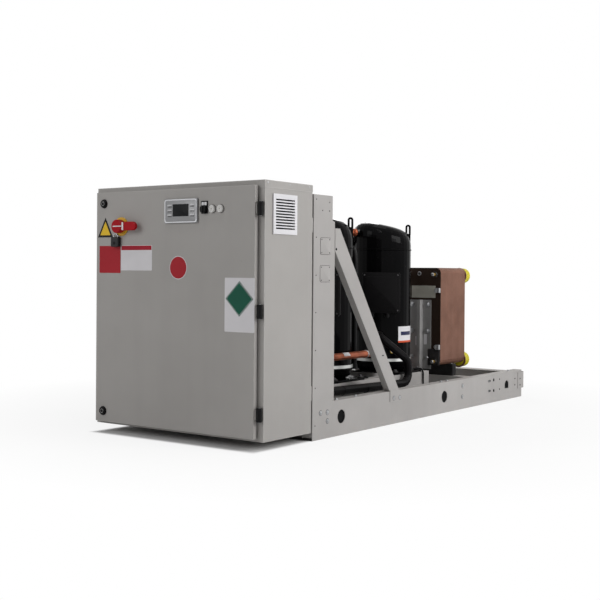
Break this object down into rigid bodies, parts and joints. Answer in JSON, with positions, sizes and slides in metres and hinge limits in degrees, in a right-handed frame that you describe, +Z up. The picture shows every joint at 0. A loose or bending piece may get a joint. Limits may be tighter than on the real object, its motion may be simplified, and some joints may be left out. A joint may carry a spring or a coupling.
{
  "type": "water_chiller",
  "caption": "Water-to-water chiller: hung control cabinet with a hinged door in front of a low steel skid with scroll compressors and plate heat exchangers",
  "frame": {"origin": "middle of the bounding box, at floor level", "axes": "+Z up, -Y the way the cabinet door faces, +X the side that carries the door hinges"},
  "size_m": [0.936, 2.5136, 1.066],
  "materials": {
    "black_paint": "glossy black enamel",
    "black_plastic": "black moulded plastic",
    "bracket_steel": "grey zinc coated steel",
    "cabinet_paint": "light warm grey powder paint, satin",
    "cap_plastic": "yellow plastic cap",
    "copper_pack": "copper brazed stainless plate pack, dull copper",
    "copper_pipe": "drawn copper, slightly tarnished",
    "drier_paint": "dark green enamel",
    "foot_rubber": "black rubber block",
    "frame_paint": "light warm grey powder paint, satin",
    "grey_plastic": "light grey moulded plastic",
    "insulation": "black foam rubber tube",
    "red_plastic": "red moulded plastic",
    "silver_plastic": "silver grey moulded plastic",
    "vent_plastic": "off-white moulded plastic",
    "yellow_plastic": "yellow moulded plastic",
    "zinc_sheet": "zinc coated sheet"
  },
  "bodies": {
    "base": {"brace_left": "frame_paint", "brace_right": "frame_paint", "cabinet_hanger_bottom": "frame_paint", "cabinet_hanger_top": "frame_paint", "cabinet_roof": "cabinet_paint", "cabinet_shell": "cabinet_paint", "compressor_front": "black_paint", "compressor_rail_left": "frame_paint", "compressor_rail_right": "frame_paint", "compressor_rear": "black_paint", "cross_member_front": "frame_paint", "cross_member_middle": "frame_paint", "cross_member_rear": "frame_paint", "discharge_branch": "copper_pipe", "discharge_line": "copper_pipe", "end_beam": "frame_paint", "equalising_line": "copper_pipe", "exchanger_bracket_left": "bracket_steel", "exchanger_bracket_right": "bracket_steel", "exchanger_foot_left": "foot_rubber", "exchanger_foot_right": "foot_rubber", "filter_drier": "drier_paint", "front_cross_beam": "frame_paint", "heat_exchanger_left": "copper_pack", "heat_exchanger_right": "copper_pack", "hinge_bottom": "black_plastic", "hinge_middle": "black_plastic", "hinge_top": "black_plastic", "liquid_line_high": "copper_pipe", "liquid_line_low": "copper_pipe", "mounting_plate": "zinc_sheet", "post_left": "frame_paint", "post_right": "frame_paint", "side_rail_left": "frame_paint", "side_rail_right": "frame_paint", "side_vent_left": "vent_plastic", "side_vent_right": "vent_plastic", "suction_branch": "insulation", "suction_header": "insulation", "suction_line": "insulation", "terminal_box_front": "black_plastic", "terminal_box_rear": "black_plastic", "top_tie": "frame_paint", "water_cap_left_bottom": "cap_plastic", "water_cap_left_top": "cap_plastic", "water_cap_right_bottom": "cap_plastic", "water_cap_right_top": "cap_plastic"},
    "door": {"cabinet_door": "cabinet_paint", "main_switch_plate": "yellow_plastic", "padlock": "black_plastic", "display_panel": "silver_plastic", "selector_plate": "black_plastic", "push_button_left": "grey_plastic", "push_button_right": "grey_plastic"},
    "switch_handle": {"main_switch_handle": "red_plastic"},
    "selector": {"selector_knob": "black_plastic"},
    "top_lock": {"lock_top": "black_plastic"},
    "bottom_lock": {"lock_bottom": "black_plastic"}
  },
  "joints": [
    {"name": "door_hinge", "type": "hinge", "parent": "base", "child": "door", "pos_m": [0.4505, -1.2068, 0.5], "axis": [0, 0, 1], "range_deg": [0, 115]},
    {"name": "main_switch_turn", "type": "hinge", "parent": "door", "child": "switch_handle", "pos_m": [-0.293, -1.2205, 0.895], "axis": [0, -1, 0], "range_deg": [0, 90]},
    {"name": "selector_turn", "type": "hinge", "parent": "door", "child": "selector", "pos_m": [0.1755, -1.2205, 0.9557], "axis": [0, -1, 0], "range_deg": [0, 90]},
    {"name": "top_lock_turn", "type": "hinge", "parent": "door", "child": "top_lock", "pos_m": [-0.4005, -1.2205, 0.996], "axis": [0, -1, 0], "range_deg": [0, 90]},
    {"name": "bottom_lock_turn", "type": "hinge", "parent": "door", "child": "bottom_lock", "pos_m": [-0.4005, -1.2205, 0.094], "axis": [0, -1, 0], "range_deg": [0, 90]}
  ]
}
